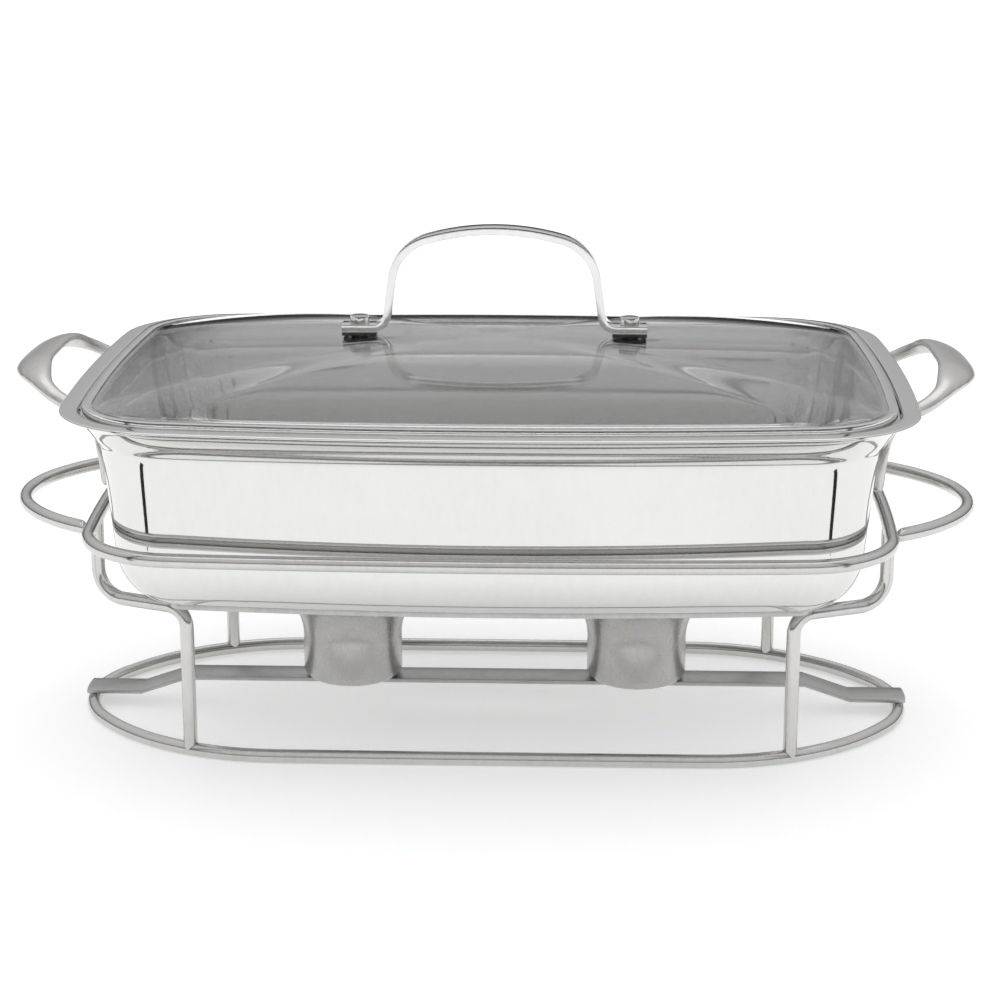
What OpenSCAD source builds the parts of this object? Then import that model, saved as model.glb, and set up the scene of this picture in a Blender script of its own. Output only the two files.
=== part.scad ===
// Chafing dish food warmer: a wire stand with two fuel cups, a deep pan that lifts off the stand,
// and a domed glass lid that lifts off the pan. Millimetres, +Z up. The origin is on the table at
// the middle of the base ring, X runs along the dish and Y across it.

/* [Pan] */
// Length of the pan over its flange
pan_l = 381.8; // [320:1:460]
// Width of the pan over its flange
pan_w = 274.4; // [230:1:330]
// Corner radius of the flange outline
corner_r = 53.2; // [52:0.2:64]
// How far the long sides bow out
side_bow = 7.2; // [5:0.2:9]
// How far the ends bow out
end_bow = 2.8; // [2:0.2:4]
// Height of the flange above the underside of the floor
pan_h = 90; // [75:1:108]
// Sheet thickness of the pan
sheet = 1.2; // [0.9:0.1:1.6]
// Width of the flat top of the flange
flange_w = 8; // [7:0.5:9]
// Depth of the ledge that the lid sits in
ledge_h = 3; // [2.4:0.1:3.6]
// Width of the ledge
ledge_w = 6.5; // [6:0.1:7]
// Height of the cove under the flange
cove_h = 16; // [13:1:19]
// How far the wall leans in from the cove to the floor
wall_lean = 4; // [2:0.5:5]
// Radius between wall and floor
floor_r = 27; // [22:1:28]
// Thickness of the plate under the floor
plate_t = 2.2; // [1.6:0.2:3]

/* [Pan handles] */
// Distance between the two legs of a handle
grip_span = 102; // [90:1:118]
// How far a handle reaches past the flange
grip_out = 31.5; // [28:0.5:40]
// Height of a handle's middle above the flange
grip_rise = 6.3; // [4:0.1:9]
// Thickness of a handle's bar
grip_t = 6.5; // [5.5:0.1:7.5]
// Width of the thumb rest
thumb_w = 20; // [17:0.5:22]
// Depth of the handle's rivets below the flange
rivet_drop = 36; // [32:1:44]
// Diameter of a rivet's shank
rivet_d = 5; // [4:0.2:6]
// Diameter of a rivet's head
rivet_head_d = 12; // [9:0.5:13]
// Height of a rivet's head
rivet_head_h = 3.6; // [2.5:0.1:4.5]

/* [Lid] */
// Rise of the glass dome
dome_h = 16; // [12:0.5:22]
// Thickness of the glass
glass_t = 3.5; // [3:0.1:4.5]
// Clearance between the steel band and the wall of the ledge
lid_gap = 1.6; // [1:0.1:2]
// Width of the steel band around the glass
band_w = 4.2; // [3.8:0.1:4.4]
// Sheet thickness of the band
band_t = 0.6; // [0.4:0.1:0.8]
// Distance between the screws of the handle
screw_pitch = 125.8; // [118:1:140]
// Height of the handle's top above its feet
arch_h = 46; // [40:1:56]
// Width of the handle's bar
bar_w = 10; // [9:0.5:12]
// Thickness of the handle's bar
bar_t = 3.6; // [3:0.1:4.4]
// Length of the flat foot
foot_l = 16; // [14:0.5:18]
// Thickness of the pads under the feet
pad_t = 1.6; // [1.2:0.1:2.4]
// Diameter of the screws
screw_d = 5; // [4:0.5:6]
// Diameter of the screw heads
screw_head_d = 8.6; // [8:0.1:9.4]
// Height of the screw heads
screw_head_h = 3.6; // [2.5:0.1:4.5]

/* [Stand] */
// Diameter of the wire
wire_d = 6.35; // [5:0.05:8]
// Length of the base ring between wire centres
base_l = 389.4; // [340:1:460]
// Width of the base ring between wire centres
base_w = 158.6; // [140:1:190]
// Length of the base ring's straight sides
base_straight = 193.2; // [150:1:220]
// Radius of the base ring's shoulders
shoulder_r = 106; // [98:1:120]
// Height of the top ring's wire centre
ring_z = 108; // [100:1:118]
// How far the side loops lie below the top ring's centre
loop_drop = 2; // [0:0.5:3]
// Gap between the pan and the top ring along the sides
ring_gap_side = 4.5; // [3:0.1:7]
// Gap between the pan and the top ring at the ends
ring_gap_end = 8.5; // [4:0.1:11]
// Corner radius of the top ring
ring_corner_r = 44; // [38:1:50]
// How far the top ring's long sides bow out
ring_bow = 4; // [2:0.2:6]
// Height of the legs' seat for the pan
seat_z = 74.2; // [66:0.2:82]
// Distance along the stand between the legs' feet
leg_pitch = 274; // [230:1:290]
// Distance across the stand between the legs' tops
leg_top_pitch = 106; // [90:1:120]
// Bend radius where a leg turns down to its foot
leg_bend_in = 9; // [7:0.5:12]
// Bend radius where a leg turns up to the top ring
leg_bend_out = 13; // [10:0.5:15]
// How far a side loop reaches past the top ring
loop_out = 41.5; // [34:0.5:50]
// Width of a side loop at the top ring
loop_w = 126; // [112:1:140]
// Bend radius at the tip of a side loop
loop_tip_r = 62; // [54:1:66]
// Bend radius of a side loop's arms
loop_arm_r = 84; // [76:1:120]

/* [Burners] */
// Width of the strip
strip_w = 17; // [14:0.5:24]
// Thickness of the strip
strip_t = 2; // [1.4:0.1:2.6]
// How far the middle of the strip is raised
strip_rise = 7.5; // [4:0.5:10]
// Length of the raised middle of the strip
strip_flat = 298; // [260:1:310]
// Length of each slope in the strip
strip_slope = 22; // [16:1:26]
// Distance between the fuel cups
cup_pitch = 136.8; // [110:1:160]
// Outer diameter of a cup
cup_d = 47.4; // [40:0.5:56]
// Height of a cup
cup_h = 39; // [32:1:46]
// Height of a cup's flared mouth
flare_h = 18; // [14:1:22]
// Radius of the flare
flare_r = 26; // [24:1:34]
// Wall of a cup
cup_wall = 1; // [0.8:0.1:1.4]

/* [Hidden] */
$fn = 96;

rest_gap = 0.3;
steel = [0.76, 0.76, 0.74];
polished = [0.84, 0.85, 0.85];
cast = [0.68, 0.68, 0.66];
rubber = [0.18, 0.18, 0.18];
glass = [0.75, 0.82, 0.82, 0.4];

// Heights
plate_z = seat_z + rest_gap;
floor_z = plate_z + plate_t;
flange_z = floor_z + pan_h;
ledge_z = flange_z - ledge_h;
band_z = ledge_z + rest_gap;
glass_z = band_z + band_t;
crown_z = glass_z + glass_t;
strip_z = wire_d + strip_rise;
cup_z = strip_z + strip_t;
cup_x = cup_pitch / 2;

// An outline is [half length, half width, corner radius, side bow, end bow]. Its sides and ends
// are shallow arcs, and each corner is an arc tangent to both.
function bow_r(half, bow) = (half * half + bow * bow) / (2 * bow);
function side_arc(o) = bow_r(o[0] - o[2], o[3]);
function end_arc(o) = bow_r(o[1] - o[2], o[4]);
function side_centre(o) = [0, o[1] - side_arc(o)];
function end_centre(o) = [o[0] - end_arc(o), 0];
// The point at distance ra from a and rb from b, on the left of the way from a to b
function meet(a, ra, b, rb) =
  let (d = norm(b - a), u = (b - a) / d, m = (ra * ra - rb * rb + d * d) / (2 * d))
  a + m * u + sqrt(ra * ra - m * m) * [-u.y, u.x];
function corner_centre(o) =
  meet(end_centre(o), end_arc(o) - o[2], side_centre(o), side_arc(o) - o[2]);
function bearing(v) = atan2(v.y, v.x);
function unit(v) = v / norm(v);
function side_turn(o) = bearing(corner_centre(o) - side_centre(o));
function end_turn(o) = bearing(corner_centre(o) - end_centre(o));

function arc(c, r, from, to, n) =
  [for (i = [0 : n]) let (a = from + (to - from) * i / n) c + r * [cos(a), sin(a)]];
function rest(p) = [for (i = [1 : len(p) - 1]) p[i]];
function most(p) = [for (i = [0 : len(p) - 2]) p[i]];
function back(p) = [for (i = [len(p) - 1 : -1 : 0]) p[i]];
function flip(p, sx, sy) = [for (v = p) [v.x * sx, v.y * sy]];

// One quarter of an outline moved in by d, from its end to its side
function quarter(o, d) = concat(
  arc(end_centre(o), end_arc(o) - d, 0, end_turn(o), 3),
  rest(arc(corner_centre(o), o[2] - d, end_turn(o), side_turn(o), 9)),
  rest(arc(side_centre(o), side_arc(o) - d, side_turn(o), 90, 5)));
function closed(q) = let (h = concat(q, rest(back(flip(q, -1, 1)))))
  most(concat(h, rest(flip(h, -1, -1))));
function outline(o, d) = closed(quarter(o, d));

pan_outline = [pan_l / 2, pan_w / 2, corner_r, side_bow, end_bow];
wall_in = flange_w + ledge_w + 2.2;
wall_out = wall_in + sheet;
wall_foot = wall_out + wall_lean;
plate_in = wall_foot + floor_r - 3.4;
cove_z = flange_z - cove_h;
arc_z = floor_z + floor_r;

// How far the pan's outer wall lies inside its flange at height z
function wall_at(z) = wall_out + wall_lean * (cove_z - z) / (cove_z - arc_z);

// The pan's section, from the flange edge, as [distance in, height]
function bezier(a, b, c, n) =
  [for (i = [0 : n]) let (t = i / n) (1 - t) * (1 - t) * a + 2 * t * (1 - t) * b + t * t * c];
cove = bezier([wall_out, cove_z], [0.67 * wall_out, flange_z - 3.5],
  [0.6, flange_z - sheet], 7);
outer_section = concat(
  [for (a = [90 : -15 : 0]) [wall_foot + floor_r * (1 - cos(a)), arc_z - floor_r * sin(a)]],
  cove);
inner_r = floor_r - sheet;
inner_foot = wall_foot + sheet;
inner_section = concat(
  [[0, flange_z - 0.8 * sheet], [0, flange_z - 0.4], [0.4, flange_z], [flange_w, flange_z],
   [flange_w + 0.6, ledge_z], [flange_w + ledge_w, ledge_z], [wall_in - 0.4, ledge_z - 1.4],
   [wall_in, ledge_z - 4], [wall_out + sheet, cove_z]],
  [for (a = [0 : 15 : 90])
    [inner_foot + inner_r * (1 - cos(a)), floor_z + sheet + inner_r * (1 - sin(a))]]);

// A closed skin over loops of equal length; the first and last loops are closed flat, or
// joined to each other in a ring
module skin(levels, ring = false) {
  n = len(levels[0]);
  m = len(levels);
  walls = [for (j = [0 : m - (ring ? 1 : 2)], i = [0 : n - 1])
    let (k = (i + 1) % n, t = (j + 1) % m) [j * n + i, t * n + i, t * n + k, j * n + k]];
  caps = [[for (i = [0 : n - 1]) i], [for (i = [n - 1 : -1 : 0]) (m - 1) * n + i]];
  polyhedron([for (l = levels, p = l) p], ring ? walls : concat(walls, caps));
}

function lift(p, z) = [for (v = p) [v.x, v.y, z]];
function level(o, d, z) = lift(outline(o, d), z);

// Wire pieces: a straight length between two points, and a flat bend about a centre
module wire(a, b) {
  v = b - a;
  translate(a) rotate([0, acos(v.z / norm(v)), bearing(v)]) cylinder(d = wire_d, h = norm(v));
}

module bend(c, r, from, to) {
  translate(c) rotate([0, 0, from]) rotate_extrude(angle = to - from)
    translate([r, 0]) circle(d = wire_d);
}

module mirrored(x, y) {
  mirror([x, 0, 0]) mirror([0, y, 0]) children();
}

// ---- Stand ----
base_half = base_l / 2;
base_side = base_w / 2;
straight = base_straight / 2;
end_reach = base_half - straight;
base_end_r = (2 * base_side * shoulder_r - end_reach * end_reach - base_side * base_side)
  / (2 * (shoulder_r - end_reach));
shoulder_c = [straight, base_side - shoulder_r];
base_end_c = [base_half - base_end_r, 0];
shoulder_turn = bearing(base_end_c - shoulder_c);
base_z = wire_d / 2;
wire_faces = [for (a = [0 : 30 : 330]) wire_d / 2 * [cos(a), sin(a)]];

function base_line(d) = closed(concat(
  arc(base_end_c, base_end_r - d, 0, shoulder_turn, 9),
  rest(arc(shoulder_c, shoulder_r - d, shoulder_turn, 90, 8)),
  [[0, base_side - d]]));

module base_ring() {
  color(steel) skin([for (f = wire_faces) lift(base_line(f.x), base_z + f.y)], ring = true);
}

ring_in = wall_at(ring_z) - wire_d / 2;
ring_outline = [pan_l / 2 - ring_in + ring_gap_end, pan_w / 2 - ring_in + ring_gap_side,
  ring_corner_r, ring_bow, end_bow];

module top_ring() {
  color(steel) skin([for (f = wire_faces) level(ring_outline, f.x, ring_z + f.y)], ring = true);
}

// A leg is one wire bent in an upright plane, from its foot on the base ring, up, out under the
// pan, and up to the top ring. Its ends are coped to the two rings.
leg_foot = [leg_pitch / 2,
  shoulder_c.y + sqrt(shoulder_r * shoulder_r - pow(leg_pitch / 2 - straight, 2))];
leg_top_y = leg_top_pitch / 2;
leg_top = [end_centre(ring_outline).x + sqrt(pow(end_arc(ring_outline), 2)
  - leg_top_y * leg_top_y), leg_top_y];
leg_run = norm(leg_top - leg_foot);
shelf_z = seat_z - wire_d / 2;

module leg_wire() {
  translate([leg_foot.x, leg_foot.y, 0]) rotate([0, 0, bearing(leg_top - leg_foot)]) {
    wire([0, 0, base_z], [0, 0, shelf_z - leg_bend_in]);
    translate([leg_bend_in, 0, shelf_z - leg_bend_in]) rotate([90, 0, 0])
      bend([0, 0, 0], leg_bend_in, 90, 180);
    wire([leg_bend_in, 0, shelf_z], [leg_run - leg_bend_out, 0, shelf_z]);
    translate([leg_run - leg_bend_out, 0, shelf_z + leg_bend_out]) rotate([90, 0, 0])
      bend([0, 0, 0], leg_bend_out, 270, 360);
    wire([leg_run, 0, shelf_z + leg_bend_out], [leg_run, 0, ring_z]);
  }
}

module leg(x, y) {
  color(steel) mirrored(x, y) difference() {
    leg_wire();
    bend([shoulder_c.x, shoulder_c.y, base_z], shoulder_r, shoulder_turn, 90);
    bend([end_centre(ring_outline).x, 0, ring_z], end_arc(ring_outline), 0,
      end_turn(ring_outline));
  }
}

// A side loop: two arms and a round tip, with its ends against the outside of the top ring
loop_root_y = loop_w / 2;
loop_root_x = end_centre(ring_outline).x
  + sqrt(pow(end_arc(ring_outline), 2) - loop_root_y * loop_root_y) + wire_d / 2;
loop_z = ring_z - loop_drop;
loop_tip_x = ring_outline[0] + loop_out;
loop_tip_c = [loop_tip_x - loop_tip_r, 0];

// Each arm's arc runs from the ring into the tip's arc
loop_root = [loop_root_x, loop_root_y];
loop_arm_c = meet(loop_tip_c, loop_arm_r - loop_tip_r, loop_root, loop_arm_r);
loop_turn = bearing(loop_tip_c - loop_arm_c);
loop_start = bearing(loop_root - loop_arm_c);

function loop_line() =
  let (arm = arc(loop_arm_c, loop_arm_r, loop_start, loop_turn, 8),
    tip = arc(loop_tip_c, loop_tip_r, loop_turn, 0, 7),
    half = concat(arm, rest(tip)))
  concat(half, rest(back(flip(half, 1, -1))));

module loop(x) {
  line = loop_line();
  n = len(line);
  color(steel) mirrored(x, 0) skin([for (i = [0 : n - 1])
    let (t = unit(line[min(i + 1, n - 1)] - line[max(i - 1, 0)]),
      end = i == 0 || i == n - 1, w = end ? [0, 1 / t.x] : [-t.y, t.x])
    [for (f = wire_faces) [line[i].x + w.x * f.x, line[i].y + w.y * f.x, loop_z + f.y]]]);
}

// ---- Burners ----
// The strip's ends lie on the base ring and follow its outer edge
module burner_strip() {
  half = strip_flat / 2;
  low = half + strip_slope;
  far = base_half + wire_d;
  top = [[half, cup_z], [low, wire_d + strip_t], [far, wire_d + strip_t]];
  under = [[far, wire_d], [low, wire_d], [half, strip_z]];
  edge = base_end_r + wire_d / 2;
  color(steel) intersection() {
    rotate([90, 0, 0]) linear_extrude(strip_w, center = true)
      polygon(concat(top, under, back(flip(under, -1, 1)), back(flip(top, -1, 1))));
    union() {
      cube([2 * base_end_c.x, base_w, 4 * strip_z], center = true);
      for (x = [-1, 1]) translate([x * base_end_c.x, 0, 0]) cylinder(r = edge, h = 2 * strip_z);
    }
  }
}

// A drawn cup with a rounded foot and a flared mouth
flare_out = flare_r - sqrt(flare_r * flare_r - flare_h * flare_h);

module cup_outline(r, foot, flare, top) {
  square([r - foot, top]);
  translate([r - foot, foot]) circle(foot);
  translate([0, foot]) square([r, top - foot]);
  difference() {
    translate([0, top - flare_h]) square([r + flare_out, flare_h]);
    translate([r + flare, top - flare_h]) circle(flare);
  }
}

module fuel_cup(side) {
  r = cup_d / 2;
  foot = 4.5;
  color(steel) translate([side * cup_x, 0, cup_z]) rotate_extrude() intersection() {
    difference() {
      cup_outline(r, foot, flare_r, cup_h);
      translate([0, cup_wall])
        cup_outline(r - cup_wall, foot - cup_wall, flare_r, cup_h);
    }
    square([r + flare_out, cup_h]);
  }
}

// ---- Pan ----
rivet_z = flange_z - rivet_drop;
rivet_y = grip_span / 2;

// Half length of the pan's outer wall at height z, d in from its middle line
function wall_x(z, y) = end_centre(pan_outline).x
  + sqrt(pow(end_arc(pan_outline) - wall_at(z), 2) - y * y);
rivet_x = wall_x(rivet_z, rivet_y);

module at_rivets() {
  for (y = [-1, 1]) translate([0, y * rivet_y, rivet_z]) rotate([0, 90, 0]) children();
}

module pan_shell() {
  color(polished) difference() {
    skin([for (s = concat(outer_section, inner_section)) level(pan_outline, s.x, s.y)]);
    for (x = [0, 1]) mirrored(x, 0)
      at_rivets() translate([0, 0, rivet_x - 8]) cylinder(d = rivet_d, h = 12);
  }
}

module pan_base_plate() {
  color(steel) translate([0, 0, plate_z]) linear_extrude(plate_t)
    polygon(outline(pan_outline, plate_in));
}

// A cast handle: an oval bar swept from a pad on the wall, up under the flange, out and round
// the thumb rest to the other pad. Each station is [x, y, z, width].
flange_x = pan_l / 2;
grip_x = flange_x + grip_out - thumb_w / 2;
grip_z = flange_z + grip_rise;
pad_z = rivet_z - 7;
grip_half = [
  [rivet_x + 3.6, rivet_y, pad_z, 11],
  [rivet_x + 3.8, rivet_y, pad_z + 5, 12.5],
  [rivet_x + 4, rivet_y, rivet_z + 4, 12],
  [rivet_x + 4.8, rivet_y + 0.5, rivet_z + 12, 10],
  [rivet_x + 7, rivet_y + 1.5, rivet_z + 20, 9],
  [rivet_x + 11.5, rivet_y + 2.6, rivet_z + 26.5, 8.4],
  [flange_x - 1, rivet_y + 3.2, flange_z - 5.6, 8],
  [flange_x + 6, rivet_y + 1.4, flange_z - 1.8, 7.6],
  [flange_x + 11.5, rivet_y - 4, flange_z + 1.8, 8.4],
  [grip_x - 6.6, rivet_y - 10.5, grip_z - 2, 12.4],
  [grip_x - 3.4, rivet_y - 18, grip_z - 0.6, 16.4],
  [grip_x - 0.8, rivet_y - 28, grip_z, 18.8],
  [grip_x, rivet_y - 40, grip_z, thumb_w - 0.4],
  [grip_x, 0, grip_z, thumb_w]];
function mirror_y(s) = [s[0], -s[1], s[2], s[3]];
grip_path = concat(grip_half, [for (i = [len(grip_half) - 2 : -1 : 0]) mirror_y(grip_half[i])]);

// A ring of points round station i: wide across the bar and in the bar's own plane
function place(s) = [s[0], s[1], s[2]];
function grip_ring(i) =
  let (n = len(grip_path), p = grip_path[i],
    t = unit(place(grip_path[min(i + 1, n - 1)]) - place(grip_path[max(i - 1, 0)])),
    up = unit(cross(t, cross([0.35, 0, 1], t))), w = cross(t, up))
  [for (a = [0 : 30 : 330])
    place(p) + w * p[3] / 2 * cos(a) + up * grip_t / 2 * sin(a)];

module pan_handle(x) {
  color(cast) mirrored(x, 0) skin([for (i = [0 : len(grip_path) - 1]) grip_ring(i)]);
}

// A rivet: a domed head inside the pan and a shank through the wall into the handle's pad
dome_r = (rivet_head_d * rivet_head_d / 4 + rivet_head_h * rivet_head_h) / (2 * rivet_head_h);

module pan_rivets(x) {
  seat = rivet_x - sheet - 0.9;
  color(polished) mirrored(x, 0) at_rivets() {
    translate([0, 0, seat]) cylinder(d = rivet_d, h = sheet + 4);
    intersection() {
      translate([0, 0, seat - rivet_head_h + dome_r]) sphere(dome_r);
      translate([0, 0, seat - rivet_head_h]) cylinder(d = rivet_head_d, h = rivet_head_h);
    }
  }
}

// ---- Lid ----
band_out = flange_w + 0.6 + lid_gap;
glass_in = band_out + band_t + rest_gap;
band_in = band_out + band_w;
crown_in = band_in + 1.5;

module lid_band() {
  top = crown_z + band_t;
  section = [[band_out, band_z], [band_out, top], [band_in, top], [band_in, crown_z],
    [band_out + band_t, crown_z], [band_out + band_t, glass_z], [band_in, glass_z],
    [band_in, band_z]];
  color(steel) skin([for (s = back(section)) level(pan_outline, s.x, s.y)], ring = true);
}

// The dome's rise where the glass has shrunk to share s of its outline
function dome(s) = dome_h * (1 - pow(s, 2.5));
function dome_at(x) = dome(x / (pan_l / 2 - crown_in));
function glass_level(s, z) = [for (p = outline(pan_outline, crown_in)) [p.x * s, p.y * s, z + dome(s)]];
glass_steps = [1, 0.95, 0.88, 0.79, 0.68, 0.55, 0.4, 0.22, 0.05];
screw_x = screw_pitch / 2;

module at_screws() {
  for (x = [-1, 1]) translate([x * screw_x, 0, 0]) children();
}

pad_hole_d = screw_d + 3;

module lid_glass() {
  under = [for (s = back(glass_steps)) glass_level(s, glass_z)];
  over = [for (s = glass_steps) glass_level(s, crown_z)];
  rim = [level(pan_outline, glass_in, glass_z), level(pan_outline, glass_in, crown_z)];
  color(glass) difference() {
    skin(concat(under, rim, over));
    at_screws() translate([0, 0, glass_z]) cylinder(d = pad_hole_d, h = 2 * dome_h);
  }
}

// Heights of the stack at each screw, from the glass up and down
foot_in = screw_x - foot_l / 2;
pad_z0 = crown_z + dome_at(foot_in) + 0.05;
foot_z = pad_z0 + pad_t;
foot_top = foot_z + bar_t;
washer_d = 15;
washer_t = 1.4;
washer_z = glass_z + dome_at(screw_x + washer_d / 2) - washer_t - 0.05;
nut_t = 4;
nut_z = washer_z - nut_t;

// The handle's middle line: a shallow crown, a shoulder, a leaning leg and a bend to the foot
crown_arc = 115;
crown_turn = 16;
shoulder_arc = 22;
lean = 8;
foot_arc = 6.5;
leg_turn = 90 - lean;
drop = crown_arc * (1 - cos(crown_turn)) + shoulder_arc * (cos(crown_turn) - cos(leg_turn))
  + foot_arc * (1 - cos(leg_turn));
leg_len = (arch_h - drop) / sin(leg_turn);
arch_top = foot_z + bar_t / 2 + arch_h;

// Points on the middle line moved out by d, from the top to the foot's end
function handle_line(d) =
  let (a = [0, arch_top - crown_arc],
    b = a + (crown_arc - shoulder_arc) * [sin(crown_turn), cos(crown_turn)],
    e = b + shoulder_arc * [sin(leg_turn), cos(leg_turn)],
    f = e + leg_len * [cos(leg_turn), -sin(leg_turn)],
    g = f + foot_arc * [sin(leg_turn), cos(leg_turn)])
  concat(
    arc(a, crown_arc + d, 90, 90 - crown_turn, 6),
    arc(b, shoulder_arc + d, 90 - crown_turn, lean, 10),
    arc(g, foot_arc - d, 180 + lean, 270, 7),
    [[screw_x + foot_l / 2, g.y - foot_arc + d]]);

module lid_handle() {
  outer = handle_line(bar_t / 2);
  inner = handle_line(-bar_t / 2);
  color(steel) difference() {
    rotate([90, 0, 0]) linear_extrude(bar_w, center = true)
      polygon(concat(back(flip(outer, -1, 1)), rest(outer), back(inner),
        rest(flip(inner, -1, 1))));
    at_screws() translate([0, 0, foot_z - 1]) cylinder(d = screw_d + 0.2, h = bar_t + 2);
  }
}

module lid_screws() {
  color(polished) at_screws() {
    translate([0, 0, foot_top]) cylinder(d = screw_head_d, h = screw_head_h);
    translate([0, 0, nut_z + 1]) cylinder(d = screw_d, h = foot_top - nut_z - 1);
  }
}

// A pad under each foot, with a sleeve that lines the hole in the glass
module lid_foot_pads() {
  color(rubber) at_screws() difference() {
    union() {
      translate([-foot_l / 2, -bar_w / 2, pad_z0]) cube([foot_l, bar_w, pad_t]);
      translate([0, 0, washer_z + washer_t])
        cylinder(d = pad_hole_d - 0.2, h = pad_z0 + pad_t - washer_z - washer_t);
    }
    translate([0, 0, washer_z]) cylinder(d = screw_d + 0.2, h = 4 * glass_t);
  }
}

module lid_washers() {
  color(rubber) at_screws() translate([0, 0, washer_z]) difference() {
    cylinder(d = washer_d, h = washer_t);
    translate([0, 0, -1]) cylinder(d = screw_d + 0.2, h = washer_t + 2);
  }
}

module lid_nuts() {
  color(polished) at_screws() translate([0, 0, nut_z]) difference() {
    cylinder(d = 10, h = nut_t, $fn = 6);
    translate([0, 0, 1]) cylinder(d = screw_d + 0.1, h = nut_t);
  }
}

base_ring();
top_ring();
leg(1, 1);  // leg_front_left
leg(0, 1);  // leg_front_right
leg(1, 0);  // leg_back_left
leg(0, 0);  // leg_back_right
loop(1);  // loop_left
loop(0);  // loop_right
burner_strip();
fuel_cup(-1);  // fuel_cup_left
fuel_cup(1);  // fuel_cup_right
pan_shell();
pan_base_plate();
pan_handle(1);  // pan_handle_left
pan_handle(0);  // pan_handle_right
pan_rivets(1);  // pan_rivets_left
pan_rivets(0);  // pan_rivets_right
lid_glass();
lid_band();
lid_handle();
lid_screws();
lid_foot_pads();
lid_washers();
lid_nuts();
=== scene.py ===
import math

import bpy
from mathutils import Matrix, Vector


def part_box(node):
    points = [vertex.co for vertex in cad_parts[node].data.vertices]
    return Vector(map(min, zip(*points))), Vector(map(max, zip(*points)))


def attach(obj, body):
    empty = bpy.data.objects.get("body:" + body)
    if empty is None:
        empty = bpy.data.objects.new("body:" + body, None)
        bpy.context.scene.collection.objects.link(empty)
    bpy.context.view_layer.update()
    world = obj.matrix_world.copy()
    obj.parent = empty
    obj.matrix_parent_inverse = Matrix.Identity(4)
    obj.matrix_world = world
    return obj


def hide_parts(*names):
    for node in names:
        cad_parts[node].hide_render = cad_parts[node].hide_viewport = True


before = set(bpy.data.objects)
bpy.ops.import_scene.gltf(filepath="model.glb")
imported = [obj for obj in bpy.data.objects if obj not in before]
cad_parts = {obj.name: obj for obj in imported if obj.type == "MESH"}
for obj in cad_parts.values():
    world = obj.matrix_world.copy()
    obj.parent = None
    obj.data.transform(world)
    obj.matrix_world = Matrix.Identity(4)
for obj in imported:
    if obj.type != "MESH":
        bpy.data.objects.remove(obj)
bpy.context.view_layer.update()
mm = 0.001


# Small helpers

def pickOnly(piece):
    bpy.ops.object.select_all(action="DESELECT")
    piece.select_set(True)
    bpy.context.view_layer.objects.active = piece


def inEdit(how="SELECT", kind="VERT"):
    bpy.ops.object.mode_set(mode="EDIT")
    bpy.ops.mesh.select_mode(type=kind)
    bpy.ops.mesh.select_all(action=how)


def backToObject():
    bpy.ops.object.mode_set(mode="OBJECT")


def applyModifier(piece, kind, **values):
    modifier = piece.modifiers.new(kind.lower(), kind)
    for key, value in values.items():
        setattr(modifier, key, value)
    pickOnly(piece)
    bpy.ops.object.modifier_apply(modifier=modifier.name)


def smooth(piece, angle=35):
    pickOnly(piece)
    bpy.ops.object.shade_smooth_by_angle(angle=math.radians(angle))


# A work copy of a frame node, welded and with its flat faces joined to quads
def copyNode(node, name, join=4.0):
    piece = bpy.data.objects.new(name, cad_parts[node].data.copy())
    bpy.context.scene.collection.objects.link(piece)
    piece.data.materials.clear()
    pickOnly(piece)
    bpy.ops.mesh.customdata_custom_splitnormals_clear()
    inEdit()
    bpy.ops.mesh.remove_doubles(threshold=0.001 * mm)
    if join:
        bpy.ops.mesh.tris_convert_to_quads(
            face_threshold=math.radians(join), shape_threshold=math.radians(180))
    backToObject()
    return piece


def settle(piece, material, body, slot, *nodes):
    piece.data.materials.clear()
    piece.data.materials.append(material)
    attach(piece, body)
    if nodes:
        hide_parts(*nodes)
    return piece


# Finishes

def newGroup(name, inputs, outputs):
    group = bpy.data.node_groups.new(name, "ShaderNodeTree")
    for label, value in inputs.items():
        socket = group.interface.new_socket(label, in_out="INPUT", socket_type="NodeSocketFloat")
        socket.default_value = value
    for label, kind in outputs.items():
        group.interface.new_socket(label, in_out="OUTPUT", socket_type=kind)
    group.nodes.new("NodeGroupInput").location = (-900, 0)
    group.nodes.new("NodeGroupOutput").location = (500, 0)
    return group


def addNode(tree, kind, place, **values):
    node = tree.nodes.new(kind)
    node.location = place
    for key, value in values.items():
        setattr(node, key, value)
    return node


def noiseAt(tree, vector, scale, detail, place, rough=0.5):
    noise = addNode(tree, "ShaderNodeTexNoise", place)
    noise.inputs["Detail"].default_value = detail
    noise.inputs["Roughness"].default_value = rough
    if isinstance(scale, bpy.types.NodeSocket):
        tree.links.new(scale, noise.inputs["Scale"])
    else:
        noise.inputs["Scale"].default_value = scale
    tree.links.new(vector, noise.inputs["Vector"])
    return noise.outputs["Fac"]


def spread(tree, value, low, high, toLow, toHigh, place):
    node = addNode(tree, "ShaderNodeMapRange", place)
    sockets = {"From Min": low, "From Max": high, "To Min": toLow, "To Max": toHigh}
    for label, x in sockets.items():
        if isinstance(x, bpy.types.NodeSocket):
            tree.links.new(x, node.inputs[label])
        else:
            node.inputs[label].default_value = x
    tree.links.new(value, node.inputs["Value"])
    return node.outputs["Result"]


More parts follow.
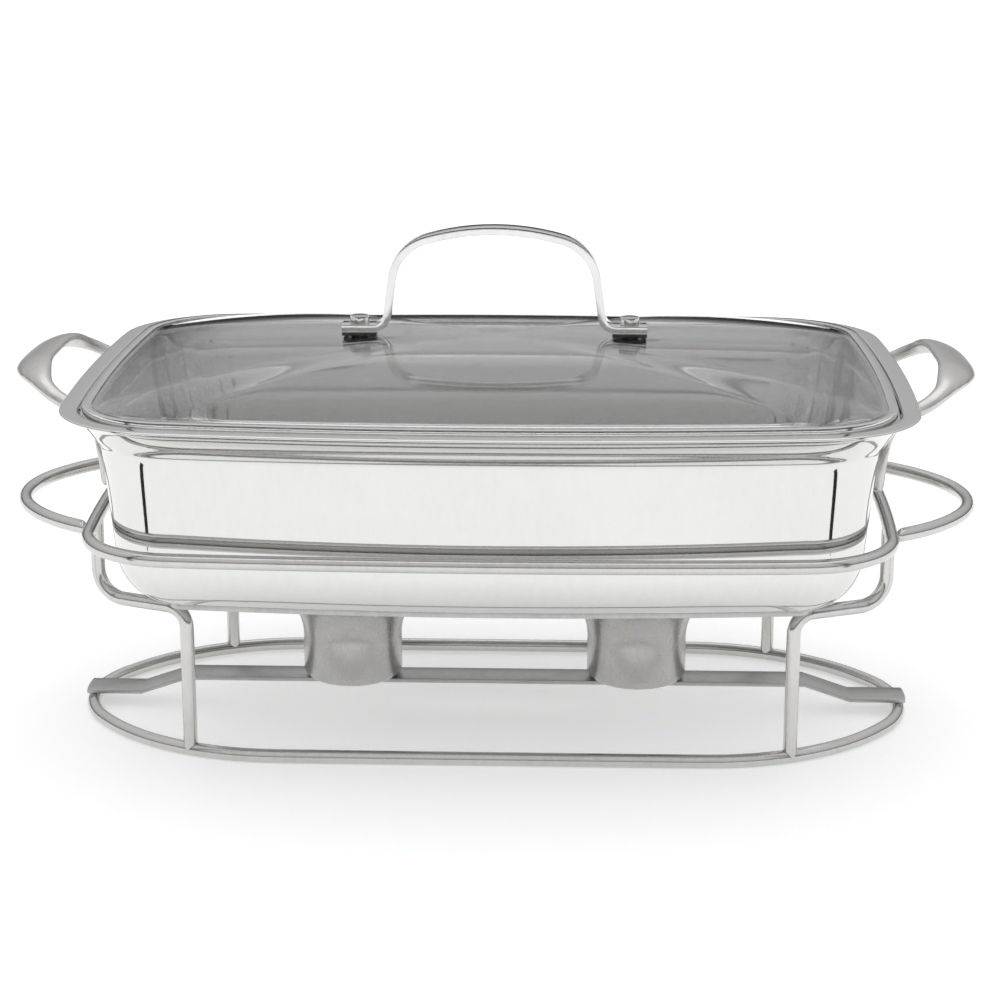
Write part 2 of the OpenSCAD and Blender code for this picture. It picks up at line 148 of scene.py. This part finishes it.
# Handling marks: broad clouds and finer smears, as a mask from 0 to 1
def makeHandlingMarks():
    group = newGroup("handlingMarks", {"Size": 40.0}, {"Mask": "NodeSocketFloat"})
    start, end = group.nodes["Group Input"], group.nodes["Group Output"]
    coord = addNode(group, "ShaderNodeTexCoord", (-900, 250))
    broad = noiseAt(group, coord.outputs["Object"], start.outputs["Size"], 4, (-650, 200), 0.62)
    stretch = addNode(group, "ShaderNodeMapping", (-700, -120))
    stretch.inputs["Scale"].default_value = (3.0, 3.0, 1.0)
    stretch.inputs["Rotation"].default_value = (0.3, 0.5, 0.4)
    group.links.new(coord.outputs["Object"], stretch.inputs["Vector"])
    fine = noiseAt(group, stretch.outputs["Vector"], 90, 5, (-450, -120), 0.7)
    both = addNode(group, "ShaderNodeMath", (-200, 60), operation="MULTIPLY")
    group.links.new(broad, both.inputs[0])
    group.links.new(fine, both.inputs[1])
    mask = spread(group, both.outputs[0], 0.16, 0.42, 0.0, 1.0, (80, 60))
    group.links.new(mask, end.inputs["Mask"])
    return group


# Fine grain of a blasted or tumbled surface, as a normal
def makeSatinGrain():
    group = newGroup("satinGrain", {"Size": 2500.0, "Depth": 0.1},
                     {"Normal": "NodeSocketVector", "Mask": "NodeSocketFloat"})
    start, end = group.nodes["Group Input"], group.nodes["Group Output"]
    coord = addNode(group, "ShaderNodeTexCoord", (-900, 250))
    grain = noiseAt(group, coord.outputs["Object"], start.outputs["Size"], 3, (-600, 150), 0.6)
    bump = addNode(group, "ShaderNodeBump", (0, 0))
    bump.inputs["Distance"].default_value = 0.06 * mm
    group.links.new(start.outputs["Depth"], bump.inputs["Strength"])
    group.links.new(grain, bump.inputs["Height"])
    group.links.new(bump.outputs["Normal"], end.inputs["Normal"])
    group.links.new(grain, end.inputs["Mask"])
    return group


# Polishing lines that run one way, as a normal and a mask
def makePolishLines():
    group = newGroup("polishLines", {"Along": 12.0, "Across": 1400.0, "Depth": 0.06},
                     {"Normal": "NodeSocketVector", "Mask": "NodeSocketFloat"})
    start, end = group.nodes["Group Input"], group.nodes["Group Output"]
    coord = addNode(group, "ShaderNodeTexCoord", (-1100, 250))
    scale = addNode(group, "ShaderNodeCombineXYZ", (-1100, -100))
    for axis, label in (("X", "Along"), ("Y", "Across"), ("Z", "Across")):
        group.links.new(start.outputs[label], scale.inputs[axis])
    stretch = addNode(group, "ShaderNodeVectorMath", (-850, 100), operation="MULTIPLY")
    group.links.new(coord.outputs["Object"], stretch.inputs[0])
    group.links.new(scale.outputs["Vector"], stretch.inputs[1])
    lines = noiseAt(group, stretch.outputs["Vector"], 1.0, 3, (-600, 100), 0.6)
    bump = addNode(group, "ShaderNodeBump", (0, 0))
    bump.inputs["Distance"].default_value = 0.03 * mm
    group.links.new(start.outputs["Depth"], bump.inputs["Strength"])
    group.links.new(lines, bump.inputs["Height"])
    group.links.new(bump.outputs["Normal"], end.inputs["Normal"])
    group.links.new(lines, end.inputs["Mask"])
    return group


handlingMarks = makeHandlingMarks()
satinGrain = makeSatinGrain()
polishLines = makePolishLines()


def startMaterial(name, metallic=1.0):
    material = bpy.data.materials.new(name)
    material.use_nodes = True
    shader = material.node_tree.nodes["Principled BSDF"]
    shader.inputs["Metallic"].default_value = metallic
    return material, material.node_tree, shader


def useGroup(tree, group, place, **values):
    node = addNode(tree, "ShaderNodeGroup", place, node_tree=group)
    for label, value in values.items():
        node.inputs[label].default_value = value
    return node


def tint(tree, mask, dark, light, place):
    mix = addNode(tree, "ShaderNodeMix", place, data_type="RGBA")
    mix.inputs["A"].default_value = (*dark, 1)
    mix.inputs["B"].default_value = (*light, 1)
    tree.links.new(mask, mix.inputs["Factor"])
    return mix.outputs["Result"]


# Steel: marks vary the roughness and colour, grain or lines give the normal
def makeSteel(name, values):
    material, tree, shader = startMaterial(name)
    marks = useGroup(tree, handlingMarks, (-700, 200), Size=values["markSize"])
    mask = marks.outputs["Mask"]
    rough = spread(tree, mask, 0, 1, values["smooth"], values["worn"], (-350, 120))
    tree.links.new(rough, shader.inputs["Roughness"])
    colour = tint(tree, mask, values["colour"], values["markColour"], (-350, 320))
    tree.links.new(colour, shader.inputs["Base Color"])
    if values["lines"]:
        along, across = values["lines"]
        detail = useGroup(tree, polishLines, (-700, -150), Along=along, Across=across,
                          Depth=values["depth"])
    else:
        detail = useGroup(tree, satinGrain, (-700, -150), Size=values["grain"],
                          Depth=values["depth"])
    tree.links.new(detail.outputs["Normal"], shader.inputs["Normal"])
    return material


steelLooks = {
    "satinWire": dict(colour=(0.64, 0.635, 0.62), markColour=(0.58, 0.575, 0.56), smooth=0.15,
                      worn=0.22, markSize=30, grain=3200, depth=0.09, lines=None),
    "satinStrip": dict(colour=(0.5, 0.5, 0.49), markColour=(0.45, 0.45, 0.44), smooth=0.3,
                       worn=0.42, markSize=50, grain=1800, depth=0.12, lines=(14, 1300)),
    "drawnCup": dict(colour=(0.55, 0.545, 0.53), markColour=(0.5, 0.495, 0.48), smooth=0.25,
                     worn=0.34, markSize=45, grain=3000, depth=0.1, lines=None),
    "mirrorPan": dict(colour=(0.76, 0.76, 0.745), markColour=(0.73, 0.73, 0.715), smooth=0.03,
                      worn=0.07, markSize=14, grain=260, depth=0.03, lines=None),
    "castHandle": dict(colour=(0.64, 0.63, 0.61), markColour=(0.58, 0.57, 0.55), smooth=0.3,
                       worn=0.42, markSize=70, grain=3400, depth=0.3, lines=None),
    "polishedFittings": dict(colour=(0.63, 0.63, 0.62), markColour=(0.57, 0.57, 0.56),
                             smooth=0.12, worn=0.22, markSize=120, grain=2500, depth=0.12,
                             lines=None),
    "polishedBand": dict(colour=(0.8, 0.8, 0.79), markColour=(0.74, 0.74, 0.73), smooth=0.1,
                         worn=0.18, markSize=50, grain=1500, depth=0.1, lines=(30, 1600)),
}
steels = {name: makeSteel(name, values) for name, values in steelLooks.items()}


def makeLidGlass(values):
    material, tree, shader = startMaterial("lidGlass", 0.0)
    shader.inputs["Transmission Weight"].default_value = 1.0
    shader.inputs["IOR"].default_value = values["ior"]
    marks = useGroup(tree, handlingMarks, (-700, 200), Size=values["markSize"])
    mask = marks.outputs["Mask"]
    rough = spread(tree, mask, 0, 1, values["smooth"], values["smeared"], (-350, 120))
    tree.links.new(rough, shader.inputs["Roughness"])
    colour = tint(tree, mask, values["colour"], values["markColour"], (-350, 320))
    tree.links.new(colour, shader.inputs["Base Color"])
    return material


lidGlass = makeLidGlass(dict(ior=1.46, markSize=18, smooth=0.0, smeared=0.02,
                             colour=(0.985, 0.99, 0.99), markColour=(0.965, 0.97, 0.97)))


def makeRubber(values):
    material, tree, shader = startMaterial("sealRubber", 0.0)
    marks = useGroup(tree, handlingMarks, (-700, 200), Size=values["markSize"])
    colour = tint(tree, marks.outputs["Mask"], values["colour"], values["dust"], (-350, 320))
    tree.links.new(colour, shader.inputs["Base Color"])
    shader.inputs["Roughness"].default_value = values["rough"]
    grain = useGroup(tree, satinGrain, (-700, -150), Size=values["grain"], Depth=0.8)
    tree.links.new(grain.outputs["Normal"], shader.inputs["Normal"])
    return material


sealRubber = makeRubber(dict(markSize=150, colour=(0.03, 0.03, 0.03), dust=(0.08, 0.08, 0.08),
                             rough=0.55, grain=3000))
print("finishes made")


# Stand

wireShape = dict(levels=2, plump=0.14)


# A round wire: the frame's many-sided bar rounded off, then brought back to its thickness
def roundWire(node, name):
    piece = copyNode(node, name)
    applyModifier(piece, "SUBSURF", levels=wireShape["levels"],
                  render_levels=wireShape["levels"])
    pickOnly(piece)
    inEdit()
    bpy.ops.transform.shrink_fatten(value=wireShape["plump"] * mm)
    backToObject()
    smooth(piece, 60)
    return settle(piece, steels["satinWire"], "stand", "satin_wire", node)


for node in ("base_ring", "top_ring", "loop_left", "loop_right"):
    roundWire(node, node + "_wire")


def smoothCopy(node, name, material, body, slot, angle=35, bevel=0.0):
    piece = copyNode(node, name)
    if bevel:
        applyModifier(piece, "BEVEL", width=bevel * mm, segments=3, limit_method="ANGLE",
                      angle_limit=math.radians(40), use_clamp_overlap=True)
    smooth(piece, angle)
    return settle(piece, material, body, slot, node)


for node in ("leg_front_left", "leg_front_right", "leg_back_left", "leg_back_right"):
    smoothCopy(node, node + "_wire", steels["satinWire"], "stand", "satin_wire", 50)
smoothCopy("burner_strip", "burner_strip_bar", steels["satinStrip"], "stand", "satin_sheet",
           30, 0.35)
for node in ("fuel_cup_left", "fuel_cup_right"):
    smoothCopy(node, node + "_shell", steels["drawnCup"], "stand", "drawn_cup", 40)
print("stand made")


# Pan

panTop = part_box("pan_shell")[1].z
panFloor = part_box("pan_shell")[0].z
panDepth = (panTop - panFloor) / mm
# Sizes in millimetres: [distance in from the flange's edge, height from the flange's top]
panShape = dict(
    edge=0.4, slab=0.56, corner=27.0, sheet=1.2, foot=21.9, floorRun=6,
    rim=[(0.4, 0), (1.2, 0), (7.4, 0), (8.0, -0.2), (8.4, -1.0), (8.7, -2.4), (9.3, -3.0),
         (13.6, -3.0), (15.0, -3.3), (16.1, -4.4), (16.7, -7.0), (17.7, -10.6), (19.1, -16)],
    cove=[(0.2, -1.0), (0.6, -1.2), (4.1, -2.1), (7.1, -3.9), (9.8, -6.4), (12.2, -9.0),
          (14.6, -12.6), (17.0, -15.4), (17.9, -17.2)])


def unpick(piece):
    backToObject()
    for part in (piece.data.vertices, piece.data.edges, piece.data.polygons):
        for item in part:
            item.select = False


def pickPoints(piece, test):
    unpick(piece)
    for v in piece.data.vertices:
        v.select = test(v.co)
    bpy.ops.object.mode_set(mode="EDIT")


# One flat face on the outline that a node has at a height
def faceOnOutline(node, name, height):
    piece = copyNode(node, name, 0)
    inEdit("DESELECT")
    pickPoints(piece, lambda co: abs(co.z - height) > 0.05 * mm)
    bpy.ops.mesh.delete(type="VERT")
    bpy.ops.mesh.select_all(action="SELECT")
    bpy.ops.mesh.edge_face_add()
    backToObject()
    return piece


# Selects the largest flat face that looks up (1) or down (-1), and stays in edit mode
def pickBroadFace(piece, up):
    unpick(piece)
    level = [f for f in piece.data.polygons if f.normal.z * up > 0.9 and len(f.vertices) > 20]
    max(level, key=lambda f: f.center.z * up).select = True
    bpy.ops.object.mode_set(mode="EDIT")
    bpy.ops.mesh.select_mode(type="FACE")


def thicken(piece, height):
    pickOnly(piece)
    inEdit("SELECT", "FACE")
    bpy.ops.mesh.extrude_region_move(TRANSFORM_OT_translate={"value": (0, 0, height)})
    bpy.ops.mesh.select_all(action="SELECT")
    bpy.ops.mesh.normals_make_consistent(inside=False)
    backToObject()


# Insets the selected face along a section of [distance in, height] points
def walkSection(points, start, up):
    at = start
    for p in points:
        bpy.ops.mesh.inset(thickness=(p[0] - at[0]) * mm, depth=(p[1] - at[1]) * up * mm,
                           use_even_offset=True, use_boundary=True)
        at = p


def cornerArc(start, low, radius, count=8):
    turns = [math.radians(90 * i / count) for i in range(count + 1)]
    return [(start + radius * (1 - math.cos(t)), low + radius * (1 - math.sin(t)))
            for t in turns]


def makePan():
    pan = faceOnOutline("pan_shell", "panBody", panTop - panShape["edge"] * mm)
    thicken(pan, -panShape["slab"] * mm)
    sheet, radius, foot = panShape["sheet"], panShape["corner"], panShape["foot"]
    run = panShape["floorRun"]
    pickBroadFace(pan, 1)
    inside = cornerArc(foot + sheet, sheet - panDepth, radius - sheet)
    end = (inside[-1][0] + run, sheet - panDepth)
    walkSection(panShape["rim"] + inside + [end], (0, -panShape["edge"]), 1)
    backToObject()
    pickBroadFace(pan, -1)
    outside = cornerArc(foot, -panDepth, radius)
    end = (outside[-1][0] + run, -panDepth)
    walkSection(panShape["cove"] + outside + [end], (0, -panShape["edge"] - panShape["slab"]), -1)
    backToObject()
    applyModifier(pan, "SUBSURF", levels=2, render_levels=2)
    smooth(pan, 70)
    settle(pan, steels["mirrorPan"], "pan", "mirror_pan", "pan_shell")


makePan()
smoothCopy("pan_base_plate", "pan_base_disc", steels["satinStrip"], "pan", "satin_sheet", 30,
           0.5)
for side in ("left", "right"):
    grip = copyNode("pan_handle_" + side, "pan_grip_" + side)
    applyModifier(grip, "SUBSURF", levels=2, render_levels=2)
    smooth(grip, 70)
    settle(grip, steels["castHandle"], "pan", "cast_handle", "pan_handle_" + side)
    smoothCopy("pan_rivets_" + side, "rivet_heads_" + side, steels["polishedFittings"], "pan",
               "polished_fittings", 40)
print("pan made")


# Lid

glassShape = dict(edge=11.1, rim=4.8, thick=3.5, rise=16.0,
                  shares=(1, 0.97, 0.93, 0.86, 0.78, 0.68, 0.55, 0.4, 0.22, 0.06))


# The dome's rise, in millimetres, where its outline has shrunk to a share
def domeRise(share):
    return glassShape["rise"] * (1 - share ** 2.5)


def raiseDome(piece, up):
    pickBroadFace(piece, up)
    bpy.ops.mesh.inset(thickness=glassShape["rim"] * mm, use_even_offset=True)
    shares = glassShape["shares"]
    for before, share in zip(shares, shares[1:]):
        lift = (domeRise(share) - domeRise(before)) * mm
        bpy.ops.mesh.extrude_region_move(TRANSFORM_OT_translate={"value": (0, 0, lift)})
        k = share / before
        bpy.ops.transform.resize(value=(k, k, 1), center_override=(0, 0, 0))
    backToObject()


def makeGlass():
    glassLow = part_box("lid_glass")[0].z
    dome = faceOnOutline("pan_shell", "lidDome", panTop - panShape["edge"] * mm)
    pickOnly(dome)
    inEdit("SELECT", "FACE")
    bpy.ops.mesh.inset(thickness=glassShape["edge"] * mm, use_even_offset=True)
    bpy.ops.mesh.select_all(action="INVERT")
    bpy.ops.mesh.delete(type="FACE")
    bpy.ops.mesh.select_all(action="SELECT")
    drop = glassLow - (panTop - panShape["edge"] * mm)
    bpy.ops.transform.translate(value=(0, 0, drop))
    backToObject()
    thicken(dome, glassShape["thick"] * mm)
    raiseDome(dome, 1)
    raiseDome(dome, -1)
    applyModifier(dome, "SUBSURF", levels=2, render_levels=2)
    smooth(dome, 50)
    settle(dome, lidGlass, "lid", "lid_glass", "lid_glass")


makeGlass()
bandRing = copyNode("lid_band", "lid_rim_band")
applyModifier(bandRing, "BEVEL", width=0.12 * mm, segments=2, limit_method="ANGLE",
              angle_limit=math.radians(40))
smooth(bandRing, 40)
settle(bandRing, steels["polishedBand"], "lid", "polished_band", "lid_band")
smoothCopy("lid_handle", "lid_grip", steels["polishedBand"], "lid", "polished_band", 35, 0.8)
smoothCopy("lid_screws", "lid_screw_heads", steels["polishedFittings"], "lid",
           "polished_fittings", 35, 0.35)
smoothCopy("lid_nuts", "lid_lock_nuts", steels["polishedFittings"], "lid", "polished_fittings",
           35, 0.3)
smoothCopy("lid_foot_pads", "lid_foot_seals", sealRubber, "lid", "seal_rubber", 35, 0.25)
smoothCopy("lid_washers", "lid_under_washers", sealRubber, "lid", "seal_rubber", 35, 0.2)
print("lid made")


# Floor, light and camera

studio = dict(floorSize=60.0, floorShade=0.88, floorGlow=0.38, skyPower=0.82, overhead=0.5,
              overheadAngle=60, overheadLean=-8, lens=88.0, distance=1.1501, turn=2.0,
              height=0.3019, aim=(0.0, 0.0, 0.110), shift=(0.0015, -0.0098))
# The sky by the height it comes from: a dark room low down, a white ceiling above
sky = [(0.0, 0.04), (0.07, 0.07), (0.15, 0.5), (0.32, 0.74), (0.62, 0.9)]
# Black cards beside the table, seen only in reflections: [from, to] along Y
cards = dict(x=0.34, tall=0.42, span=(-0.26, -0.228))


def makeFloor():
    bpy.ops.object.select_all(action="DESELECT")
    bpy.ops.mesh.primitive_plane_add(size=studio["floorSize"], location=(0, 0, 0))
    floor = bpy.context.object
    floor.name = "studioFloor"
    material, tree, shader = startMaterial("floorPaper", 0.0)
    coord = addNode(tree, "ShaderNodeTexCoord", (-900, 0))
    mottle = noiseAt(tree, coord.outputs["Object"], 3.0, 3, (-650, 0))
    shade = studio["floorShade"]
    colour = tint(tree, mottle, (shade, shade, shade), (shade + 0.02,) * 3, (-350, 0))
    tree.links.new(colour, shader.inputs["Base Color"])
    shader.inputs["Roughness"].default_value = 0.8
    shader.inputs["Specular IOR Level"].default_value = 0.1
    shader.inputs["Emission Color"].default_value = (1, 1, 1, 1)
    shader.inputs["Emission Strength"].default_value = studio["floorGlow"]
    floor.data.materials.append(material)


def makeWorld():
    world = bpy.data.worlds.new("softStudio")
    bpy.context.scene.world = world
    world.use_nodes = True
    tree = world.node_tree
    coord = addNode(tree, "ShaderNodeTexCoord", (-900, 0))
    split = addNode(tree, "ShaderNodeSeparateXYZ", (-700, 0))
    tree.links.new(coord.outputs["Generated"], split.inputs["Vector"])
    ramp = addNode(tree, "ShaderNodeValToRGB", (-450, 0))
    stops = ramp.color_ramp.elements
    while len(stops) < len(sky):
        stops.new(0.5)
    for stop, (height, shade) in zip(stops, sky):
        stop.position = height
        stop.color = (shade, shade, shade * 1.01, 1)
    tree.links.new(split.outputs["Z"], ramp.inputs["Fac"])
    background = tree.nodes["Background"]
    background.inputs["Strength"].default_value = studio["skyPower"]
    tree.links.new(ramp.outputs["Color"], background.inputs["Color"])


def addOverhead():
    bpy.ops.object.light_add(type="SUN", location=(0, 0.3, 2))
    lamp = bpy.context.object
    lamp.name = "overheadSoftLight"
    lamp.data.energy = studio["overhead"]
    lamp.data.angle = math.radians(studio["overheadAngle"])
    lamp.rotation_euler = (math.radians(studio["overheadLean"]), 0, 0)


def addCard(name, x, low, high):
    bpy.ops.mesh.primitive_plane_add(size=1, location=(x, (low + high) / 2,
                                                       cards["tall"] / 2))
    card = bpy.context.object
    card.name = name
    card.rotation_euler = (0, math.radians(90), 0)
    card.scale = (cards["tall"], high - low, 1)
    material, tree, shader = startMaterial(name + "Felt", 0.0)
    shader.inputs["Base Color"].default_value = (0.01, 0.01, 0.01, 1)
    shader.inputs["Roughness"].default_value = 0.9
    card.data.materials.append(material)
    card.visible_camera = False
    card.visible_shadow = False
    card.visible_diffuse = False
    card.visible_transmission = False


def makeCamera():
    turn = math.radians(studio["turn"])
    out = math.sqrt(studio["distance"] ** 2 - studio["height"] ** 2)
    aim = Vector(studio["aim"])
    eye = aim + Vector((out * math.sin(turn), -out * math.cos(turn), studio["height"]))
    bpy.ops.object.camera_add(location=eye)
    camera = bpy.context.object
    camera.data.lens = studio["lens"]
    camera.data.sensor_width = 36
    camera.data.shift_x, camera.data.shift_y = studio["shift"]
    camera.data.clip_end = 100
    camera.rotation_euler = (aim - eye).to_track_quat("-Z", "Y").to_euler()
    bpy.context.scene.camera = camera


makeFloor()
makeWorld()
addOverhead()
low, high = cards["span"]
addCard("leftCard0", -cards["x"], low, high)
addCard("rightCard0", cards["x"], low, high)
makeCamera()
bpy.context.scene.view_settings.view_transform = "Standard"
print("studio made")
